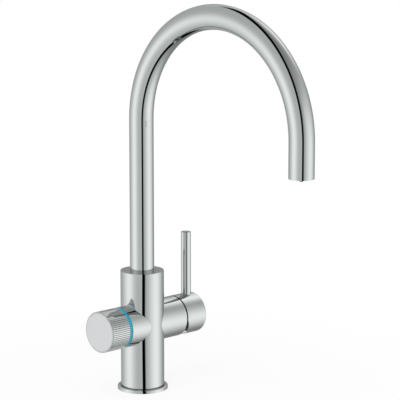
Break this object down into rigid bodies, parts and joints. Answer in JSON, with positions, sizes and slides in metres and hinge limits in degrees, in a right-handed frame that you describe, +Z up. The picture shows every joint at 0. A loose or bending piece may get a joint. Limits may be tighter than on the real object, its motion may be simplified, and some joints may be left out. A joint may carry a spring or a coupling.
{
  "type": "boiling water tap",
  "caption": "Chrome worktop tap with a swivelling swan-neck spout, a mixer lever on one side and a ribbed boiling water knob with a teal ring on the other.",
  "frame": {"origin": "centre of the flange's underside, on the worktop's surface", "axes": "+Z up along the body, spout towards -Y, mixer branch towards +X, boiling water knob towards -X"},
  "size_m": [0.1323, 0.2598, 0.405],
  "materials": {
    "chrome_body": "polished chrome plating on brass",
    "chrome_flange": "polished chrome plating on brass",
    "chrome_spout": "polished chrome plating on a brass tube",
    "chrome_lever": "polished chrome plating",
    "chrome_knob": "chrome plating over straight knurling",
    "chrome_button": "fine satin chrome on a flat face",
    "teal_ring": "coloured plastic with a low gloss",
    "brass": "turned brass",
    "steel": "plain stainless steel",
    "nozzle_steel": "turned stainless steel",
    "rubber": "black rubber",
    "black_plastic": "black moulded plastic",
    "white_plastic": "natural white moulded plastic",
    "grey_plastic": "grey moulded plastic",
    "ceramic": null
  },
  "bodies": {
    "tap_body": {"body_casting": "chrome_body", "base_flange": "chrome_flange", "deck_seal": "rubber", "flange_o_ring": "rubber", "inlet_block": "brass", "inlet_block_o_ring": "rubber", "boiling_socket_o_ring": "rubber", "upper_glide_ring": "white_plastic", "swivel_stop_screw": "steel", "cartridge_seals": "rubber", "cartridge_base": "white_plastic", "cartridge_housing": "white_plastic", "fixed_disc": "ceramic", "cartridge_nut": "brass", "dome_cover": "black_plastic", "indicator_ring": "teal_ring", "valve_seat_seal": "rubber", "valve_fixed_disc": "ceramic", "valve_body": "brass", "valve_o_ring": "rubber", "valve_nut": "brass"},
    "spout": {"spout_tube": "chrome_spout", "spout_foot": "brass", "lower_glide_ring": "white_plastic", "spout_o_rings": "rubber", "boiling_tube": "steel", "boiling_nozzle": "nozzle_steel", "aerator_housing": "black_plastic", "flow_straightener": "white_plastic", "aerator_screen": "steel", "aerator_seal": "rubber"},
    "mixer_rotor": {"cartridge_rotor": "grey_plastic", "pivot_pin": "steel"},
    "mixer_disc": {"moving_disc": "ceramic", "disc_carrier": "grey_plastic"},
    "lever": {"lever_spindle": "steel", "lever_cap": "chrome_lever", "lever_rod": "chrome_lever", "lever_grub_screw": "steel", "grub_screw_plug": "grey_plastic"},
    "knob": {"valve_spindle": "brass", "spindle_o_ring": "rubber", "valve_moving_disc": "ceramic", "knob_core": "black_plastic", "knob_sleeve": "chrome_knob", "knob_screw": "steel", "button_spring": "steel"},
    "button": {"safety_button": "chrome_button"}
  },
  "joints": [
    {"name": "spout_swivel", "type": "hinge", "parent": "tap_body", "child": "spout", "pos_m": [0, 0, 0.1252], "axis": [0, 0, 1], "range_deg": [-75, 75]},
    {"name": "mixer_turn", "type": "hinge", "parent": "tap_body", "child": "mixer_rotor", "pos_m": [0.0339, 0, 0.0692], "axis": [1, 0, 0], "range_deg": [-45, 45]},
    {"name": "lever_tilt", "type": "hinge", "parent": "mixer_rotor", "child": "lever", "pos_m": [0.0339, 0, 0.0692], "axis": [0, 1, 0], "range_deg": [0, 18]},
    {"name": "disc_slide", "type": "slide", "parent": "mixer_rotor", "child": "mixer_disc", "axis": [0, 0, 1], "range_m": [0, 0.0037]},
    {"name": "knob_turn", "type": "hinge", "parent": "tap_body", "child": "knob", "pos_m": [-0.04, 0, 0.0692], "axis": [-1, 0, 0], "range_deg": [0, 90]},
    {"name": "button_push", "type": "slide", "parent": "knob", "child": "button", "axis": [1, 0, 0], "range_m": [0, 0.0025], "stiffness_N_per_m": 1200, "springref_m": -0.001, "deforming": ["button_spring"]}
  ],
  "couplings": [
    {"joint": "disc_slide", "follows": "lever_tilt", "m_per_rad": 0.0114}
  ]
}
